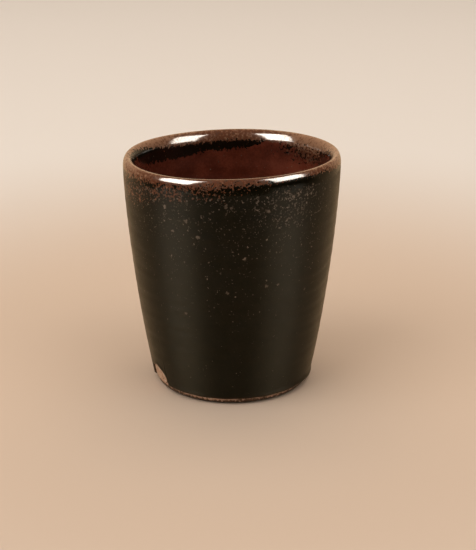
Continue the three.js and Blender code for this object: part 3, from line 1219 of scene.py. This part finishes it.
@dataclass
class ThrownClay(Piece):
    """The clay under the coats, bare at the foot, under the base and in the finger mark."""

    name: str = "thrown_clay"
    slot: str = "bare_clay"
    foot_inset: float = 0.8
    edge_reach: float = 2.4
    edge_rise: float = 0.80
    ring_width: float = 7.2
    hollow: float = 0.8
    hollow_power: float = 1.5
    hollow_rows: int = 34
    ring_rows: int = 14
    edge_rows: int = 14
    bevel_rows: int = 8
    skirt_rows: int = 22
    skirt_height: float = 11.0
    wall_rows: int = 26
    lip_rows: int = 12
    wire_centre: Point = (46.0, 30.0)
    wire_pitch: float = 3.1
    wire_sway: float = 0.8
    wire_sway_reach: float = 7.0
    wire_depth: float = 0.10
    wire_middle: Ramp = Ramp(1.0, 5.0)
    wire_end: Ramp = Ramp(28.6, 26.6)
    outside_depth: float = 3.0
    mark_flash: Ramp = Ramp(-0.6, 0.4, 0.80)
    painted_glint_reach: float = 0.9
    # Painted highlights: how strongly the lamps are shown glinting on the clay just below the glaze edge,
    # by angle, strongest near -25 and 32 degrees.
    painted_glints: Knots = (
        (-180, 0.05), (-75, 0.10), (-45, 0.25), (-25, 1.10), (-8, 0.70), (8, 0.25), (20, 0.30), (32, 1.05),
        (48, 0.20), (75, 0.15),
    )
    # Painted contact shade round the foot's bottom, by angle.
    contact_shade: Knots = (
        (-180, 0.7), (-100, 0.5), (-72, 0.05), (-50, 0.8), (0, 1.0), (42, 0.9), (66, 0.1), (100, 0.5),
    )
    contact_shade_fade: Ramp = Ramp(0.9, 0.5)

    def finish(self) -> BareClay:
        """Bare stoneware."""
        return BareClay(self.slot)

    def base(self) -> tuple[Array, Array]:
        """Profile of the base and foot: a shallow dish, a flat ring, a worn edge and a bevel.

        The dish is hollow * (1 - s^2)^1.5 deep at a share s of its radius. The worn edge is a quarter
        ellipse that lifts off the table, wider than it is high.

        Returns:
            Radii and heights, from the axis outwards and up to the glaze line.
        """
        form = self.form
        start = form.outer_wall.share_at(form.glaze_line)
        radius, height = form.outer_wall.at(start)
        outward, upward = form.outer_wall.normal(start)
        line = (radius - outward * form.wall_coat, height - upward * form.wall_coat)
        foot = line[0] - self.foot_inset
        flat = foot - self.edge_reach
        dish = flat - self.ring_width
        across = np.linspace(0.0, 1.0, self.hollow_rows + 1)[1:]
        turn = np.linspace(-np.pi / 2, 0.0, self.edge_rows, endpoint=False)
        bevel = np.linspace(0.0, 1.0, self.bevel_rows, endpoint=False)
        radii = [
            dish * across,
            np.linspace(dish, flat, self.ring_rows + 1)[1:-1],
            flat + self.edge_reach * np.cos(turn),
            foot + (line[0] - foot) * bevel,
        ]
        heights = [
            self.hollow * (1.0 - across**2) ** self.hollow_power,
            np.zeros(self.ring_rows - 1),
            self.edge_rise * (1.0 + np.sin(turn)),
            self.edge_rise + (line[1] - self.edge_rise) * bevel,
        ]
        return np.concatenate(radii), np.concatenate(heights)

    def shell(self) -> Shell:
        """Builds the clay from the middle of the base, round the foot and over the wall to the floor.

        Returns:
            The closed shell, with two poles on the axis.
        """
        form = self.form
        radius, height = self.base()
        under = form.turned(radius[:, None], height[:, None])
        under[..., 2] += self.wire_marks(under, radius)
        coat, lip_coat = form.wall_coat, form.lip_coat
        band, inner_band = form.band_share, form.inner_band_share
        skirt = form.outer_wall.share_at(np.linspace(form.glaze_line, self.skirt_height, self.skirt_rows))
        wall = np.linspace(skirt[-1], band, self.wall_rows + 1)[1:]
        thinning = np.linspace(coat, lip_coat, self.lip_rows + 1)[1:-1, None]
        up = np.linspace(band, 1.0, self.lip_rows + 1)[1:-1]
        down = np.linspace(0.0, inner_band, self.lip_rows + 1)[1:-1]
        turn = np.linspace(0.0, 1.0, self.lip_rows)
        stretches = (
            (Side.OUTSIDE, form.outer_wall, skirt, coat),
            (Side.OUTSIDE, form.outer_wall, wall, coat),
            (Side.OUTSIDE, form.outer_wall, up, thinning),
            (Side.OUTSIDE, form.outer_lip, turn, lip_coat),
            (Side.INSIDE, form.inner_lip, np.linspace(0.0, 1.0, self.lip_rows + 1)[1:], lip_coat),
            (Side.INSIDE, form.inner_wall, down, thinning[::-1]),
            (Side.INSIDE, form.inner_wall, np.linspace(inner_band, 1.0, self.wall_rows), coat),
            (Side.INSIDE, form.corner, turn[1:], coat),
            (Side.INSIDE, form.floor, turn[1:-1], coat),
        )
        rows = np.concatenate([under, *(form.surface(*stretch) for stretch in stretches)])
        poles = np.array([[0.0, 0.0, self.hollow], [0.0, 0.0, form.floor_thickness - coat]])
        return Shell(self.name, "clay_body", self.slot, rows, self.traits(rows), poles)

    def wire_marks(self, points: Array, radius: Array) -> Array:
        """Shallow arcs of the cutting wire under the base, a wave of the distance to one point.

        Args:
            points: Points of the base and foot.
            radius: Radius of each row.

        Returns:
            How far each point is lifted.
        """
        distance = np.hypot(points[..., 0] - self.wire_centre[0], points[..., 1] - self.wire_centre[1])
        sway = self.wire_sway * np.sin(distance / self.wire_sway_reach)
        wave = 0.5 + 0.5 * np.sin(2 * np.pi * distance / self.wire_pitch + sway)
        fade = self.wire_middle.at(radius) * self.wire_end.at(radius)
        return self.wire_depth * wave * fade[:, None]

    def traits(self, rows: Array) -> Traits:
        """Traits of the clay: flashing in the mark, painted highlights below the glaze edge, painted
        contact shade where it stands.

        Args:
            rows: Points of the shell.

        Returns:
            A grid for each trait.
        """
        form = self.form
        height = rows[..., 2]
        outer = np.hypot(rows[..., 0], rows[..., 1]) > form.base_radius - self.outside_depth
        mark = self.mark_flash.at(height - form.glaze_line)
        below = form.glaze_edge() - height
        # Painted highlight on the clay, a bell just below the glaze edge.
        painted_glint = round_cup(form.angles, self.painted_glints) * Bell(1.0, 0.0, self.painted_glint_reach).at(below)
        # Painted contact shade, fading out above the foot's bottom.
        contact_shade = round_cup(form.angles, self.contact_shade) * self.contact_shade_fade.at(height)
        return {
            Trait.FLASH_AND_GLINT: np.where(outer, np.maximum(mark, painted_glint), 0.0),
            Trait.CONTACT_SHADE: np.where(outer, contact_shade, 0.0),
        }


@dataclass(frozen=True)
class SoftBox:
    """A square studio lamp that faces the cup, with its sizes in metres."""

    name: str
    azimuth: float
    elevation: float
    distance: float
    width: float
    tall: float
    power: float
    shine: bool = False
    tint: Colour = (1.0, 0.93, 0.80)
    aim: float = 0.05

    def make(self) -> None:
        """Places the lamp on a sphere round the cup and turns it there, to either light or shine."""
        lamp = bpy.data.lights.new(self.name, "AREA")
        lamp.shape = "RECTANGLE"
        lamp.size = self.width
        lamp.size_y = self.tall
        lamp.energy = self.power
        lamp.color = self.tint
        piece = bpy.data.objects.new(self.name, lamp)
        side, rise = math.radians(self.azimuth), math.radians(self.elevation)
        place = Vector((math.cos(rise) * math.sin(side), -math.cos(rise) * math.cos(side), math.sin(rise)))
        piece.location = place * self.distance + Vector((0.0, 0.0, self.aim))
        piece.rotation_euler = place.to_track_quat("Z", "Y").to_euler()
        piece.visible_camera = False
        piece.visible_diffuse = not self.shine
        piece.visible_glossy = self.shine
        bpy.context.collection.objects.link(piece)


@dataclass
class Studio:
    """The pale table, the soft light and the camera."""

    table_size: float = 8.0
    table_near: Colour = (0.650, 0.525, 0.455)
    table_far: Colour = (0.805, 0.775, 0.800)
    table_mirrored: Colour = (0.695, 0.512, 0.345)
    table_dark: Colour = (0.030, 0.024, 0.018)
    table_roughness: float = 0.34
    table_sheen: float = 0.70
    sheen_tint: Colour = (1.0, 0.80, 0.46)
    paling: Ramp = Ramp(110.0, 420.0)
    passing: Ramp = Ramp(1300.0, 2400.0)
    shade_reach: Ramp = Ramp(250.0, 370.0)
    shade_front: Ramp = Ramp(90.0, -60.0)
    room_front: Colour = (0.09, 0.070, 0.045)
    room_back: Colour = (1.08, 0.78, 0.48)
    room_edge: Ramp = Ramp(0.12, 0.88)
    backdrop: Colour = (0.74, 0.635, 0.535)
    lens: float = 79.01
    sensor: float = 36.0
    camera_place: tuple[float, float, float] = (0.0, -0.46287, 0.20850)
    camera_tilt: float = 70.32
    camera_pan: float = -0.2994
    lamps: Sequence[SoftBox] = (
        SoftBox("top_lamp", 0.0, 88.0, 3.2, 4.0, 4.0, 72.0),
        SoftBox("left_lamp", -58.0, 42.0, 3.2, 2.7, 2.7, 41.0),
        SoftBox("right_lamp", 58.0, 42.0, 3.2, 2.7, 2.7, 19.0),
        SoftBox("left_shine", -62.0, 31.5, 3.0, 1.9, 2.2, 364.0, True, (1.0, 0.95, 0.86)),
        SoftBox("right_shine", 62.0, 31.5, 3.0, 1.9, 2.2, 294.0, True, (1.0, 0.95, 0.86)),
    )

    def table_top(self) -> bpy.types.Material:
        """Wires the table, which is matt and grows paler away from the cup.

        What the cup mirrors of it is browner, has a sheen and ends in the dark in front. What the camera
        sees of it far away passes into the backdrop.

        Returns:
            The material.
        """
        graph = Graph("table_top")
        distance = graph.vector("LENGTH", graph.place)
        front = graph.step(self.shade_front, graph.part("Y", graph.place))
        shade = graph.math("MULTIPLY", graph.step(self.shade_reach, distance), front)
        glossy = graph.ray("Is Glossy Ray")
        beyond = graph.math("MULTIPLY", graph.step(self.passing, distance), graph.ray("Is Camera Ray"))
        top = graph.mix(graph.step(self.paling, distance), self.table_near, self.table_far)
        top = graph.mix(glossy, top, graph.mix(shade, self.table_mirrored, self.table_dark))
        sheen = graph.total((-self.table_sheen, self.table_sheen), shade, 1.0)
        return graph.dress({
            "Base Color": graph.mix(beyond, top, BLACK),
            "Emission Color": self.backdrop,
            "Emission Strength": beyond,
            "Roughness": self.table_roughness,
            "Specular IOR Level": graph.math("MULTIPLY", glossy, sheen),
            "Specular Tint": self.sheen_tint,
        })

    def table(self) -> None:
        """Lays the table, a flat sheet."""
        half = self.table_size / 2
        mesh = bpy.data.meshes.new("table")
        corners = [(-half, -half, 0.0), (half, -half, 0.0), (half, half, 0.0), (-half, half, 0.0)]
        mesh.from_pydata(corners, [], [(0, 1, 2, 3)])
        mesh.materials.append(self.table_top())
        piece = bpy.data.objects.new("table", mesh)
        bpy.context.collection.objects.link(piece)

    def room(self) -> None:
        """Lights the room, dim in front of the cup and paler behind. The camera sees one backdrop."""
        world = bpy.data.worlds.new("room")
        world.use_nodes = True
        wires = Wiring(world.node_tree)
        depth = wires.part("Y", wires.node("TexCoord", {}).outputs["Generated"])
        colour = wires.mix(wires.step(self.room_edge, depth), self.room_front, self.room_back)
        colour = wires.mix(wires.ray("Is Camera Ray"), colour, self.backdrop)
        wires.feed(world.node_tree.nodes["Background"].inputs["Color"], colour)
        bpy.context.scene.world = world

    def camera(self) -> None:
        """Stands the camera where the photograph was taken from."""
        lens = bpy.data.cameras.new("camera")
        lens.lens = self.lens
        lens.sensor_width = self.sensor
        piece = bpy.data.objects.new("camera", lens)
        piece.location = self.camera_place
        piece.rotation_euler = (math.radians(self.camera_tilt), 0.0, math.radians(self.camera_pan))
        bpy.context.collection.objects.link(piece)
        bpy.context.scene.camera = piece

    def make(self) -> None:
        """Sets up the table, the room, the camera and the lamps."""
        self.table()
        self.room()
        self.camera()
        for lamp in self.lamps:
            lamp.make()


def main() -> None:
    """Builds the cup and the studio in order."""
    logging.basicConfig(level=logging.INFO, format="%(name)s: %(message)s")
    bpy.context.scene.view_settings.view_transform = "Standard"
    form = ThrownForm(CAD_BOX[1])
    coats = [kind(form, GlazeMap(form)) for kind in (OuterCoat, LipCoat, InnerCoat)]
    for part in (ThrownClay(form), *coats):
        LOG.info("made %s", part.make().name)
    Studio().make()


if __name__ == "__main__":
    main()
